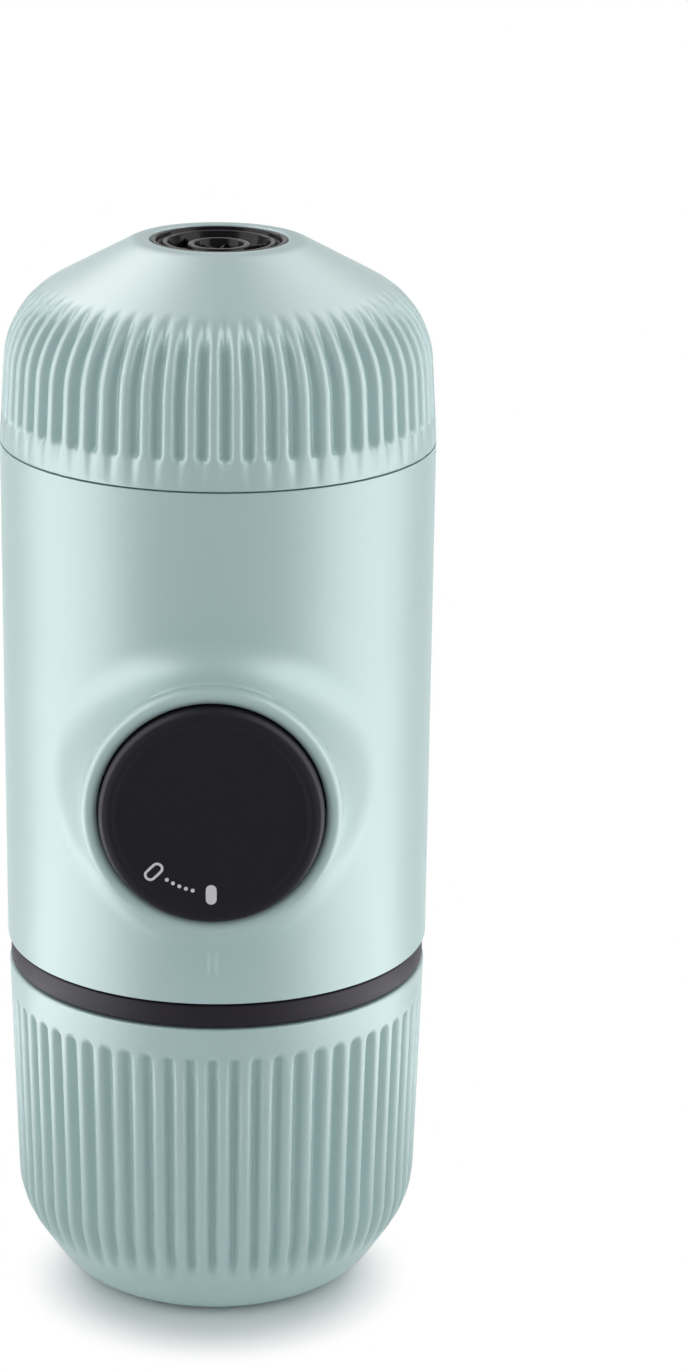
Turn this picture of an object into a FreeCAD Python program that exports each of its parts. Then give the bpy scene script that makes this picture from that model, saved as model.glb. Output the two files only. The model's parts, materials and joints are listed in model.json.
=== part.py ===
import FreeCAD, Part
import math
import os
import re
import Sketcher
from FreeCAD import Vector

# Handheld manual espresso maker, standing on the floor of its cup.
# Z points up, the knob faces -Y, and the origin is the middle of the cup's foot. Millimetres.

os.makedirs("parts", exist_ok=True)
doc = FreeCAD.newDocument("EspressoMaker")
sheet = doc.addObject("Spreadsheet::Sheet", "Sizes")

drivingSizes = {
    # cup: the corners are where the straight runs of its outline would meet
    "cupDepth": 48.94,
    "cupFootRadius": 21.86,
    "cupFootRound": 8.2,
    "cupWaistRadius": 29.56,
    "cupWaistHeight": 11.57,
    "cupWaistRound": 14.5,
    "cupRimRadius": 30.63,
    "cupWall": 2.2,
    # flutes of the cup and of the head
    "fluteCount": 60,
    "fluteWidth": 1.7,
    "fluteDepth": 0.8,
    "cupFluteTop": 4.4,
    "cupFluteFoot": 8.2,
    "headFluteFoot": 4.0,
    # black band and the spigot under it
    "bandRadius": 30.4,
    "bandHeight": 3.36,
    "spigotLength": 6.5,
    "spigotBore": 26.3,
    "gripSection": 1.0,
    # casing
    "bodyHeight": 74.2,
    "bodyFootRadius": 30.84,
    "bodyTopRadius": 31.0,
    "bodyWall": 1.85,
    "footGap": 0.49,
    "pumpRise": 31.0,
    "bossRadius": 17.9,
    "bossReach": 38.4,
    "bossBack": 23.1,
    "bossFillet": 4.0,
    "bossRim": 1.0,
    "tickLength": 4.5,
    "tickWidth": 1.1,
    "tickRise": 6.2,
    # outlet head
    "headGap": 0.16,
    "headHeight": 28.56,
    "headShoulderRadius": 29.83,
    "headShoulderDrop": 9.59,
    "headShoulderRound": 13.2,
    "headTopRadius": 11.98,
    "headTopRound": 3.75,
    "headWall": 1.8,
    "mouthRadius": 9.73,
    # clearances
    "slideGap": 0.3,
    "fitGap": 0.1,
    "sealGap": 0.12,
    # water tank
    "tankRadius": 26.8,
    "tankFoot": 8.5,
    "tankRound": 11.0,
    "tankWall": 1.4,
    "tankNeck": 25.9,
    "sealHeight": 1.4,
    "sealWidth": 2.0,
    # plates and frame
    "plateHeight": 3.4,
    "discHeight": 2.5,
    "discRadius": 28.7,
    "webFront": 4.0,
    "webHeight": 4.0,
    "webSpan": 50.0,
    "guideRadius": 17.5,
    "guideBore": 15.5,
    "portReach": 18.7,
    "portRadius": 1.6,
    "tubeRadius": 5.0,
    "tubeWall": 1.5,
    "screwReach": 14.5,
    "screwShank": 1.4,
    "screwHead": 2.6,
    "screwHeadHeight": 1.5,
    "screwLength": 8.0,
    "postRadius": 3.4,
    # pump
    "chamberBore": 6.6,
    "chamberRadius": 9.0,
    "chamberFront": 14.5,
    "chamberBack": 24.0,
    "chamberDepth": 21.0,
    "stroke": 22.0,
    "rodRadius": 3.5,
    "headLength": 5.4,
    "deadLength": 4.6,
    "ringWidth": 1.6,
    "wireRadius": 0.55,
    "springRadius": 11.2,
    "springTurns": 7,
    "wireSides": 6,
    # knob and its bayonet
    "knobRadius": 15.47,
    "knobReach": 40.0,
    "knobHeight": 3.8,
    "knobRound": 1.9,
    "knobDish": 0.35,
    "knobDishRadius": 13.4,
    "sleeveRadius": 13.9,
    "sleeveWall": 0.9,
    "lugReach": 15.15,
    "hubRadius": 6.0,
    "hubLength": 5.2,
    "lugLength": 2.4,
    "lugAngle": 22.0,
    "lugStart": 50.0,
    "lockTurn": 45.0,
    "lockRingFront": 30.0,
    "lockRingLength": 3.8,
    "clipSection": 0.8,
    # brewing group
    "brewDrop": 9.8,
    "brewFloor": 3.5,
    "brewRadius": 26.6,
    "brewBore": 23.0,
    "brewHeight": 16.0,
    "gasketHeight": 2.35,
    "gasketWidth": 3.4,
    "showerRadius": 18.6,
    "showerHeight": 4.0,
    "sheetThick": 0.8,
    "basketRadius": 20.7,
    "basketWall": 1.2,
    "basketHeight": 20.5,
    "basketFlange": 22.6,
    "slotCount": 12,
    # inside of the head
    "skirtRadius": 28.1,
    "skirtLength": 11.8,
    "housingPlate": 1.75,
    "funnelRadius": 6.5,
    "valveRadius": 2.2,
    "nozzleRidge": 7.7,
    "nozzleRing": 3.9,
    "nozzleSink": 0.4,
    "vaneCount": 6,
    "vaneThick": 0.9,
}

# heights and radii that follow from the driving sizes
followingSizes = {
    "cupCone": "atan(cupWaistHeight / (cupWaistRadius - cupFootRadius))",
    "bandFoot": "cupDepth + slideGap",
    "bandTop": "bandFoot + bandHeight",
    "spigotFoot": "bandFoot - spigotLength",
    "spigotRadius": "cupRimRadius - cupWall - 1.6 * slideGap",
    "bodyFoot": "bandTop + footGap",
    "bodyTop": "bodyFoot + bodyHeight",
    "pumpHeight": "bodyFoot + pumpRise",
    "headFoot": "bodyTop + headGap",
    "headTop": "headFoot + headHeight",
    "headShoulder": "headTop - headShoulderDrop",
    "headCone": "atan(headShoulderDrop / (headShoulderRadius - headTopRadius))",
    "headInnerFoot": "bodyTopRadius - headWall",
    "headInnerShoulder": "headShoulder - headWall * tan(45 deg - headCone / 2)",
    "plateTop": "bandTop + plateHeight",
    "discTop": "plateTop + discHeight",
    "brewFoot": "bodyTop - brewDrop",
    "brewTop": "brewFoot + brewFloor",
    "upperDiscFoot": "brewFoot - discHeight",
    "tankTop": "bandTop - sealHeight - 2 * sealGap",
    "tankShoulder": "spigotFoot - 1.7 * slideGap",
    "boreRadius": "knobRadius + slideGap",
    "knobBack": "knobReach - knobHeight",
    "pistonBack": "chamberDepth - deadLength",
    "basketFoot": "brewTop + gasketHeight + sealGap",
    "basketTop": "basketFoot + basketHeight",
    "housingFoot": "headFoot + 0.7",
    "housingShelf": "housingFoot + skirtLength",
    "housingCeiling": "basketTop + sealHeight + 2 * sealGap",
    "housingTop": "housingCeiling + housingPlate",
    "funnelTop": "housingTop + 4.2",
}

for row, (alias, value) in enumerate(drivingSizes.items(), start=1):
    sheet.set(f"A{row}", alias)
    sheet.set(f"B{row}", str(value))
    sheet.setAlias(f"B{row}", alias)
doc.recompute()


def bound(text):
    """Spell an expression out in cells of the sheet."""
    def spell(found):
        word = found.group(0)
        if word in followingSizes:
            return "(" + bound(followingSizes[word]) + ")"
        if word in drivingSizes:
            return "Sizes." + word
        return word
    return re.sub(r"[A-Za-z]\w*", spell, str(text))


def size(text):
    """Value of an expression."""
    return float(sheet.evalExpression(bound(text)))


def newBody(label):
    body = doc.addObject("PartDesign::Body", label)
    body.Label = label
    return body


def originOf(body, role):
    return [item for item in body.Origin.OriginFeatures if item.Role == role][0]


def newSketch(body, plane, shift=("0", "0", "0"), turn=None, about=Vector(0, 1, 0)):
    """Sketch on an origin plane, shifted in the plane's own directions and turned about one of them."""
    sketch = body.newObject("Sketcher::SketchObject", body.Label + "_sketch")
    sketch.AttachmentSupport = (originOf(body, plane), [""])
    sketch.MapMode = "FlatFace"
    if turn is not None:
        sketch.AttachmentOffset = FreeCAD.Placement(Vector(), FreeCAD.Rotation(about, 1))
        sketch.setExpression("AttachmentOffset.Rotation.Angle", bound(turn))
    for axis, distance in zip("xyz", shift):
        if distance != "0":
            sketch.setExpression("AttachmentOffset.Base." + axis, bound(distance))
    doc.recompute()
    return sketch


def pin(sketch, geometry, point, across, up):
    """Tie a point to its distances from the sketch's origin."""
    for kind, distance, axis in (("DistanceX", across, -2), ("DistanceY", up, -1)):
        if distance == "0":
            sketch.addConstraint(Sketcher.Constraint("PointOnObject", geometry, point, axis))
            continue
        value = size(distance)
        index = sketch.addConstraint(Sketcher.Constraint(kind, -1, 1, geometry, point, value))
        sketch.setExpression(f"Constraints[{index}]", bound(distance))


def drawOutline(sketch, corners):
    """Closed outline through corners (across, up) or (across, up, radius of its round)."""
    count = len(corners)
    spots = [Vector(size(corner[0]), size(corner[1]), 0) for corner in corners]
    enter = list(spots)
    leave = list(spots)
    for index, corner in enumerate(corners):
        if len(corner) == 3:
            here = spots[index]
            back = (spots[index - 1] - here).normalize()
            onward = (spots[(index + 1) % count] - here).normalize()
            reach = size(corner[2]) / math.tan(back.getAngle(onward) / 2)
            enter[index] = here + back * reach
            leave[index] = here + onward * reach
    lines = []
    for index in range(count):
        segment = Part.LineSegment(leave[index], enter[(index + 1) % count])
        lines.append(sketch.addGeometry(segment, False))
    for index, corner in enumerate(corners):
        before = lines[index - 1]
        after = lines[index]
        if len(corner) == 2:
            sketch.addConstraint(Sketcher.Constraint("Coincident", before, 2, after, 1))
            pin(sketch, after, 1, corner[0], corner[1])
            continue
        roundCorner(sketch, before, after, corner, spots[index], enter[index], leave[index])


def roundCorner(sketch, before, after, corner, spot, start, end):
    """Arc between two lines whose runs meet in a corner."""
    middle = (start + end) * 0.5
    half = (start - middle).Length / (start - spot).Length
    apex = middle + (spot - middle) * (half / (1 + half))
    arc = Part.Arc(start, apex, end)
    forward = (apex - start).cross(end - start).z > 0
    geometry = sketch.addGeometry(arc, False)
    first, last = (1, 2) if forward else (2, 1)
    marker = sketch.addGeometry(Part.Point(spot), True)
    pin(sketch, marker, 1, corner[0], corner[1])
    sketch.addConstraint(Sketcher.Constraint("PointOnObject", marker, 1, before))
    sketch.addConstraint(Sketcher.Constraint("PointOnObject", marker, 1, after))
    sketch.addConstraint(Sketcher.Constraint("Tangent", before, 2, geometry, first))
    sketch.addConstraint(Sketcher.Constraint("Tangent", geometry, last, after, 1))
    index = sketch.addConstraint(Sketcher.Constraint("Radius", geometry, size(corner[2])))
    sketch.setExpression(f"Constraints[{index}]", bound(corner[2]))


def drawCircle(sketch, across, up, radius):
    circle = Part.Circle(Vector(size(across), size(up), 0), Vector(0, 0, 1), size(radius))
    geometry = sketch.addGeometry(circle, False)
    pin(sketch, geometry, 3, across, up)
    index = sketch.addConstraint(Sketcher.Constraint("Radius", geometry, size(radius)))
    sketch.setExpression(f"Constraints[{index}]", bound(radius))


def revolve(body, corners, kind="Revolution", east="0", north="0", angle="360"):
    """Turn an outline of (radius, height) corners about an upright through (east, north)."""
    sketch = newSketch(body, "XZ_Plane", (east, "0", f"-({north})" if north != "0" else "0"))
    drawOutline(sketch, corners)
    return finishTurn(body, sketch, "V_Axis", kind, angle)


def revolveAcross(body, corners, kind="Revolution", angle="360", start=None):
    """Turn an outline of (y, radius) corners about the pump's axis, from an angle off the upright."""
    sketch = newSketch(body, "YZ_Plane", ("0", "pumpHeight", "0"), start, Vector(1, 0, 0))
    drawOutline(sketch, corners)
    return finishTurn(body, sketch, "H_Axis", kind, angle)


def finishTurn(body, sketch, axis, kind, angle):
    turned = body.newObject("PartDesign::" + kind, body.Label + "_" + kind)
    turned.Profile = sketch
    turned.ReferenceAxis = (sketch, [axis])
    turned.setExpression("Angle", bound(angle))
    doc.recompute()
    return turned


def extrude(body, sketch, length, kind="Pocket", backwards=False, bothWays=False):
    """Pad or Pocket; a pocket goes against the sketch's normal unless it is backwards."""
    feature = body.newObject("PartDesign::" + kind, body.Label + "_" + kind)
    feature.Profile = sketch
    feature.setExpression("Length", bound(length))
    feature.Reversed = backwards
    feature.Midplane = bothWays
    doc.recompute()
    return feature


def drill(body, places, top, depth):
    """Round holes at (x, y, radius), down from a height."""
    sketch = newSketch(body, "XY_Plane", ("0", "0", top))
    for east, north, radius in places:
        drawCircle(sketch, east, north, radius)
    return extrude(body, sketch, depth)


def repeat(body, features, count):
    """Copies of features round the upright."""
    pattern = body.newObject("PartDesign::PolarPattern", body.Label + "_pattern")
    pattern.Originals = features
    pattern.Axis = (originOf(body, "Z_Axis"), [""])
    pattern.Angle = 360
    pattern.setExpression("Occurrences", bound(count))
    body.Tip = pattern
    doc.recompute()
    return pattern


def ring(label, inner, outer, foot, top):
    """Plain ring, or a disc where the inner radius is 0."""
    body = newBody(label)
    revolve(body, [(inner, foot), (outer, foot), (outer, top), (inner, top)])
    return body



def cup():
    body = newBody("cup")
    revolve(body, [
        ("0", "0"),
        ("cupFootRadius", "0", "cupFootRound"),
        ("cupWaistRadius", "cupWaistHeight", "cupWaistRound"),
        ("cupRimRadius", "cupDepth"),
        ("cupRimRadius - cupWall", "cupDepth"),
        ("cupWaistRadius - cupWall", "cupWaistHeight + cupWall * tan(45 deg - cupCone / 2)"),
        ("cupFootRadius - cupWall * tan(cupCone / 2)", "cupWall"),
        ("0", "cupWall"),
    ])
    sketch = newSketch(body, "XZ_Plane")
    drawOutline(sketch, [
        ("cupRimRadius + 2", "cupDepth - cupFluteTop + 2"),
        ("cupRimRadius - fluteDepth", "cupDepth - cupFluteTop - 1"),
        ("cupWaistRadius - fluteDepth", "cupWaistHeight + 1", "cupWaistRound - fluteDepth"),
        ("cupWaistRadius - (cupWaistHeight - cupFluteFoot) / tan(cupCone) - 0.34", "cupFluteFoot - 1"),
        ("cupRimRadius + 2", "cupFluteFoot - 1"),
    ])
    flute = extrude(body, sketch, "fluteWidth", bothWays=True)
    repeat(body, [flute], "fluteCount")
    return body


def headShell():
    body = newBody("head_shell")
    revolve(body, [
        ("bodyTopRadius", "headFoot"),
        ("headShoulderRadius", "headShoulder", "headShoulderRound"),
        ("headTopRadius", "headTop", "headTopRound"),
        ("mouthRadius", "headTop"),
        ("mouthRadius", "headInnerShoulder + (headShoulderRadius - headWall - mouthRadius) * tan(headCone)"),
        ("headShoulderRadius - headWall - 0.3 * headShoulderRound",
         "headInnerShoulder + 0.3 * headShoulderRound * tan(headCone)"),
        ("headShoulderRadius - headWall + 0.028 * headShoulderRound", "headInnerShoulder - 0.4 * headShoulderRound"),
        ("headInnerFoot", "headFoot"),
    ])
    sketch = newSketch(body, "XZ_Plane", turn="180 deg / fluteCount")
    drawOutline(sketch, [
        ("bodyTopRadius + 2", "headFoot + headFluteFoot - 2"),
        ("bodyTopRadius - fluteDepth", "headFoot + headFluteFoot + 0.8"),
        ("headShoulderRadius - 0.7 * fluteDepth", "headShoulder - 0.3 * headShoulderRound",
         "headShoulderRound - fluteDepth"),
        ("headShoulderRadius - 0.46 * headShoulderRound", "headShoulder + 0.346 * headShoulderRound"),
        ("bodyTopRadius + 2", "headShoulder + 0.346 * headShoulderRound"),
    ])
    flute = extrude(body, sketch, "fluteWidth", bothWays=True)
    repeat(body, [flute], "fluteCount")
    return body


def bodyShell():
    body = newBody("body_shell")
    revolve(body, [
        ("bodyFootRadius - bodyWall", "bodyFoot"),
        ("bodyFootRadius", "bodyFoot"),
        ("bodyTopRadius", "bodyTop"),
        ("bodyTopRadius - bodyWall", "bodyTop"),
    ])
    addBoss(body)
    softenBoss(body)
    bore = newSketch(body, "XZ_Plane", ("0", "0", "bossReach + 1"))
    drawCircle(bore, "0", "pumpHeight", "boreRadius")
    extrude(body, bore, "bossReach - bossBack + 2")
    tick = newSketch(body, "XZ_Plane", ("0", "0", "bodyFootRadius - 0.5"))
    drawOutline(tick, [
        ("-tickWidth / 2", "bodyFoot + tickRise - tickLength / 2"),
        ("tickWidth / 2", "bodyFoot + tickRise - tickLength / 2"),
        ("tickWidth / 2", "bodyFoot + tickRise + tickLength / 2"),
        ("-tickWidth / 2", "bodyFoot + tickRise + tickLength / 2"),
    ])
    extrude(body, tick, "2", backwards=True)
    return body


def addBoss(body):
    sketch = newSketch(body, "XZ_Plane", ("0", "0", "bossBack"))
    drawCircle(sketch, "0", "pumpHeight", "bossRadius")
    extrude(body, sketch, "bossReach - bossBack", "Pad")


def softenBoss(body):
    """Fillet where the boss leaves the casing, then round its rim."""
    outside = size("bodyFootRadius") - 0.01
    for reach in ("bossFillet", "bossRim"):
        base = body.Tip
        edges = []
        for number, edge in enumerate(body.Shape.Edges, start=1):
            points = edge.discretize(5)
            onBoss = all(abs(math.hypot(p.x, p.z - size("pumpHeight")) - size("bossRadius")) < 0.01
                         for p in points)
            atRim = all(p.y < 0.01 - size("bossReach") for p in points)
            atRoot = not atRim and all(math.hypot(p.x, p.y) > outside for p in points)
            if onBoss and ((atRim and reach == "bossRim") or (atRoot and reach == "bossFillet")):
                edges.append(f"Edge{number}")
        fillet = body.newObject("PartDesign::Fillet", "body_shell_" + reach)
        fillet.Base = (base, edges)
        fillet.setExpression("Radius", bound(reach))
        doc.recompute()


def collar():
    body = newBody("collar_ring")
    revolve(body, [
        ("spigotBore", "spigotFoot"),
        ("spigotRadius", "spigotFoot"),
        ("spigotRadius", "spigotFoot + 2"),
        ("spigotRadius - gripSection", "spigotFoot + 2"),
        ("spigotRadius - gripSection", "spigotFoot + 2 + 1.2 * gripSection"),
        ("spigotRadius", "spigotFoot + 2 + 1.2 * gripSection"),
        ("spigotRadius", "bandFoot"),
        ("bandRadius", "bandFoot"),
        ("bandRadius", "bandTop"),
        ("spigotBore", "bandTop"),
    ])
    ring("cup_grip", "spigotRadius - gripSection + fitGap / 2", "spigotRadius + fitGap",
         "spigotFoot + 2 + fitGap / 2", "spigotFoot + 2 + 1.2 * gripSection - fitGap / 2")


def tank():
    body = newBody("water_tank")
    revolve(body, [
        ("0", "tankFoot"),
        ("tankRadius - tankRound", "tankFoot"),
        ("tankRadius", "tankFoot + tankRound"),
        ("tankRadius", "tankShoulder"),
        ("tankNeck", "tankShoulder"),
        ("tankNeck", "tankTop"),
        ("tankNeck - tankWall", "tankTop"),
        ("tankNeck - tankWall", "tankShoulder - tankWall"),
        ("tankRadius - tankWall", "tankShoulder - tankWall"),
        ("tankRadius - tankWall", "tankFoot + tankRound + tankWall * tan(22.5 deg)"),
        ("tankRadius - tankRound - tankWall * tan(22.5 deg)", "tankFoot + tankWall"),
        ("0", "tankFoot + tankWall"),
    ])
    ring("tank_seal", "tankNeck - sealWidth", "tankNeck", "tankTop + sealGap",
         "tankTop + sealGap + sealHeight")


def plateAndValves():
    body = ring("tank_plate", "0", "discRadius", "bandTop", "plateTop")
    drill(body, [("0", "portReach", "portRadius"), ("0", "-portReach", "screwShank + fitGap")],
          "plateTop", "plateHeight + 1")
    drill(body, screwPlaces("screwShank + fitGap"), "plateTop", "plateHeight + 1")
    drill(body, screwPlaces("screwHead + 2 * fitGap"), "bandTop + screwHeadHeight", "screwHeadHeight + 1")
    duckbill("inlet_valve", "portReach", "plateTop")
    umbrella = newBody("vent_valve")
    revolve(umbrella, [
        ("0", "bandTop + 1"),
        ("screwShank", "bandTop + 1"),
        ("screwShank", "plateTop"),
        ("2.6 * screwShank", "plateTop"),
        ("0.8 * screwShank", "plateTop + 1"),
        ("0", "plateTop + 1"),
    ], north="-portReach")


def duckbill(label, north, foot):
    """Check valve: a flange and a body that narrows to two lips."""
    body = newBody(label)
    revolve(body, [
        ("0", foot),
        ("tubeRadius - tubeWall - fitGap", foot),
        ("tubeRadius - tubeWall - fitGap", foot + " + 1"),
        ("0.5 * tubeRadius", foot + " + 1"),
        ("0.45 * tubeRadius", foot + " + 2.6"),
        ("0", foot + " + 2.6"),
    ], north=north)
    sketch = newSketch(body, "XY_Plane", ("0", north, foot + " + 2.6"))
    drawOutline(sketch, [
        ("-0.4 * tubeRadius", "-0.1 * tubeRadius"),
        ("0.4 * tubeRadius", "-0.1 * tubeRadius"),
        ("0.4 * tubeRadius", "0.1 * tubeRadius"),
        ("-0.4 * tubeRadius", "0.1 * tubeRadius"),
    ])
    extrude(body, sketch, "2", "Pad")


def screwPlaces(radius):
    """Four screws on a square."""
    return [(east + "screwReach", north + "screwReach", radius) for east in ("", "-") for north in ("", "-")]


def pumpFrame():
    body = ring("pump_frame", "0", "discRadius", "plateTop", "discTop")
    upper = newSketch(body, "XY_Plane", ("0", "0", "upperDiscFoot"))
    drawCircle(upper, "0", "0", "discRadius")
    extrude(body, upper, "discHeight", "Pad")
    for foot, height in (("discTop", "1.4 * discHeight"), ("upperDiscFoot - 1.4 * discHeight", "1.4 * discHeight")):
        posts = newSketch(body, "XY_Plane", ("0", "0", foot))
        for east, north, radius in screwPlaces("postRadius"):
            drawCircle(posts, east, north, radius)
        extrude(body, posts, height, "Pad")
    block(body, "-webSpan / 2", "webSpan / 2", "webFront", "webFront + webHeight", "discTop", "upperDiscFoot - discTop")
    block(body, "-webHeight / 2", "webHeight / 2", "webFront + webHeight",
          "portReach - tubeRadius - slideGap", "discTop", "0.3 * (pumpHeight - discTop)")
    guide = newSketch(body, "XZ_Plane", ("0", "0", "-webFront"))
    drawCircle(guide, "0", "pumpHeight", "guideRadius")
    extrude(body, guide, "webFront + bossBack - slideGap", "Pad")
    for radius, start, length in (("guideBore", "-webFront", "webFront + bossBack + 1"),
                                  ("chamberRadius + fitGap / 2", "-webFront - webHeight - 20", "webHeight + 21")):
        hole = newSketch(body, "XZ_Plane", ("0", "0", start))
        drawCircle(hole, "0", "pumpHeight", radius)
        extrude(body, hole, length, backwards=True)
    portHoles = [("0", "portReach", "tubeRadius + fitGap / 2"), ("0", "-portReach", "tubeRadius")]
    drill(body, portHoles, "discTop", "discHeight + 1")
    drill(body, portHoles[:1], "brewFoot", "discHeight + 1")
    drill(body, screwPlaces("screwShank + fitGap / 2"), "plateTop + screwLength", "screwLength + 1")
    drill(body, screwPlaces("screwShank + fitGap / 2"), "brewFoot + 1", "screwLength + 1")


def block(body, west, east, south, north, foot, height):
    sketch = newSketch(body, "XY_Plane", ("0", "0", foot))
    drawOutline(sketch, [(west, south), (east, south), (east, north), (west, north)])
    extrude(body, sketch, height, "Pad")


def frameScrews():
    """Four screws up through the tank plate and four down through the brewing floor."""
    body = newBody("screw_form")
    pieces = []
    for head, direction in (("bandTop", 1), ("brewTop", -1)):
        for east, north, radius in screwPlaces("screwShank"):
            spot = Vector(size(east), size(north), size(head))
            along = Vector(0, 0, direction)
            cap = Part.makeCylinder(size("screwHead"), size("screwHeadHeight"), spot, along)
            shank = Part.makeCylinder(size(radius), size("screwLength"), spot, along)
            pieces.append(cap.fuse(shank).removeSplitter())
    doc.removeObject(body.Name)
    group = doc.addObject("Part::Feature", "frame_screws")
    group.Shape = Part.makeCompound(pieces)
    group.Placement = FreeCAD.Placement()


def pump():
    body = newBody("pump_cylinder")
    revolveAcross(body, [
        ("-chamberFront", "rodRadius + fitGap"),
        ("-chamberFront", "chamberRadius"),
        ("chamberBack", "chamberRadius"),
        ("chamberBack", "0"),
        ("chamberDepth", "0"),
        ("chamberDepth", "chamberBore"),
        ("2 - chamberFront", "chamberBore"),
        ("2 - chamberFront", "rodRadius + fitGap"),
    ])
    for outward in (False, True):
        spigot = newSketch(body, "XY_Plane", ("0", "portReach", "pumpHeight"))
        drawCircle(spigot, "0", "0", "tubeRadius - tubeWall - fitGap")
        extrude(body, spigot, "chamberRadius + 4", "Pad", backwards=outward)
    for outward in (False, True):
        passage = newSketch(body, "XY_Plane", ("0", "portReach", "pumpHeight"))
        drawCircle(passage, "0", "0", "portRadius")
        extrude(body, passage, "chamberRadius + 5", backwards=outward)
    chamber = newSketch(body, "XZ_Plane", ("0", "0", "-chamberDepth"))
    drawCircle(chamber, "0", "pumpHeight", "chamberBore")
    extrude(body, chamber, "chamberDepth + chamberFront - 2", backwards=True)


def tubes():
    for label, foot, height in (("inlet_tube", "plateTop", "pumpHeight - chamberRadius - fitGap - plateTop"),
                                ("outlet_tube", "pumpHeight + chamberRadius + fitGap",
                                 "brewFoot - pumpHeight - chamberRadius - fitGap")):
        body = newBody(label)
        revolve(body, [
            ("tubeRadius - tubeWall", foot),
            ("tubeRadius", foot),
            ("tubeRadius", f"{foot} + {height}"),
            ("tubeRadius - tubeWall", f"{foot} + {height}"),
        ], north="portReach")
    duckbill("outlet_valve", "portReach", "pumpHeight + chamberRadius + 4 + sealGap")


def plunger():
    rod = newBody("plunger_rod")
    revolveAcross(rod, [
        ("1.5 - knobReach", "0"),
        ("1.5 - knobReach", "rodRadius"),
        ("pistonBack - headLength", "rodRadius"),
        ("pistonBack - headLength", "rodRadius - 1"),
        ("pistonBack", "rodRadius - 1"),
        ("pistonBack", "0"),
    ])
    groove = "hubLength / 2 - knobBack"
    revolveAcross(rod, [
        (groove, "rodRadius - clipSection / 2"),
        (f"{groove} + clipSection + fitGap", "rodRadius - clipSection / 2"),
        (f"{groove} + clipSection + fitGap", "rodRadius + 1"),
        (groove, "rodRadius + 1"),
    ], "Groove")
    clip = newBody("rod_circlip")
    revolveAcross(clip, [
        (f"{groove} + fitGap / 2", "rodRadius - clipSection / 2 + fitGap / 2"),
        (f"{groove} + fitGap / 2 + clipSection", "rodRadius - clipSection / 2 + fitGap / 2"),
        (f"{groove} + fitGap / 2 + clipSection", "rodRadius + clipSection"),
        (f"{groove} + fitGap / 2", "rodRadius + clipSection"),
    ], angle="320")
    head = newBody("piston_head")
    front = "pistonBack - headLength"
    middle = "pistonBack - headLength / 2"
    revolveAcross(head, [
        (front, "rodRadius - 1 + fitGap / 2"),
        (front, "chamberBore - slideGap"),
        (f"{middle} - ringWidth / 2", "chamberBore - slideGap"),
        (f"{middle} - ringWidth / 2", "chamberBore - ringWidth"),
        (f"{middle} + ringWidth / 2", "chamberBore - ringWidth"),
        (f"{middle} + ringWidth / 2", "chamberBore - slideGap"),
        ("pistonBack", "chamberBore - slideGap"),
        ("pistonBack", "rodRadius - 1 + fitGap / 2"),
    ])
    seal = newBody("piston_seal")
    revolveAcross(seal, [
        (f"{middle} - ringWidth / 2 + fitGap / 2", "chamberBore - ringWidth + fitGap / 2"),
        (f"{middle} - ringWidth / 2 + fitGap / 2", "chamberBore - fitGap"),
        (f"{middle} + ringWidth / 2 - fitGap / 2", "chamberBore - fitGap"),
        (f"{middle} + ringWidth / 2 - fitGap / 2", "chamberBore - ringWidth + fitGap / 2"),
    ])


def knob():
    cap = newBody("knob_cap")
    dish = "knobDish - knobReach"
    groove = "hubLength / 2 - knobBack"
    revolveAcross(cap, [
        (dish, "0"),
        (dish, "knobDishRadius - knobDish"),
        ("-knobReach", "knobDishRadius"),
        ("-knobReach", "knobRadius", "knobRound"),
        ("-knobBack", "knobRadius"),
        ("-knobBack", "hubRadius"),
        ("hubLength - knobBack", "hubRadius"),
        ("hubLength - knobBack", "rodRadius + fitGap"),
        (f"{groove} + clipSection + 1.5 * fitGap", "rodRadius + fitGap"),
        (f"{groove} + clipSection + 1.5 * fitGap", "rodRadius + clipSection + fitGap"),
        (f"{groove} - fitGap / 2", "rodRadius + clipSection + fitGap"),
        (f"{groove} - fitGap / 2", "rodRadius + fitGap"),
        ("1.5 - fitGap - knobReach", "rodRadius + fitGap"),
        ("1.5 - fitGap - knobReach", "0"),
    ])
    sleeve = newBody("knob_sleeve")
    lugBack = "-bossBack - fitGap"
    lugFront = "-bossBack - fitGap - lugLength"
    revolveAcross(sleeve, [
        ("-knobBack", "sleeveRadius - sleeveWall"),
        ("-knobBack", "sleeveRadius"),
        (lugBack, "sleeveRadius"),
        (lugBack, "sleeveRadius - sleeveWall"),
    ])
    for lug in range(3):
        revolveAcross(sleeve, [
            (lugFront, "sleeveRadius - sleeveWall / 2"),
            (lugFront, "lugReach"),
            (lugBack, "lugReach"),
            (lugBack, "sleeveRadius - sleeveWall / 2"),
        ], angle="lugAngle", start=f"(lugStart + {120 * lug}) * 1 deg")


def lockRing():
    """Ring whose slots leave the lugs free over the whole turn of the knob."""
    body = newBody("lock_ring")
    front = "-lockRingFront"
    back = "lockRingLength - lockRingFront"
    revolveAcross(body, [
        (front, "sleeveRadius + fitGap"),
        (front, "boreRadius - fitGap / 2"),
        (back, "boreRadius - fitGap / 2"),
        (back, "sleeveRadius + fitGap"),
    ])
    for slot in range(3):
        revolveAcross(body, [
            (f"{front} - 1", "sleeveRadius - 1"),
            (f"{front} - 1", "lugReach + fitGap"),
            (f"{back} + 1", "lugReach + fitGap"),
            (f"{back} + 1", "sleeveRadius - 1"),
        ], "Groove", "lockTurn + lugAngle + 3", f"(lugStart + {120 * slot} - lockTurn - 1.5) * 1 deg")


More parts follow.
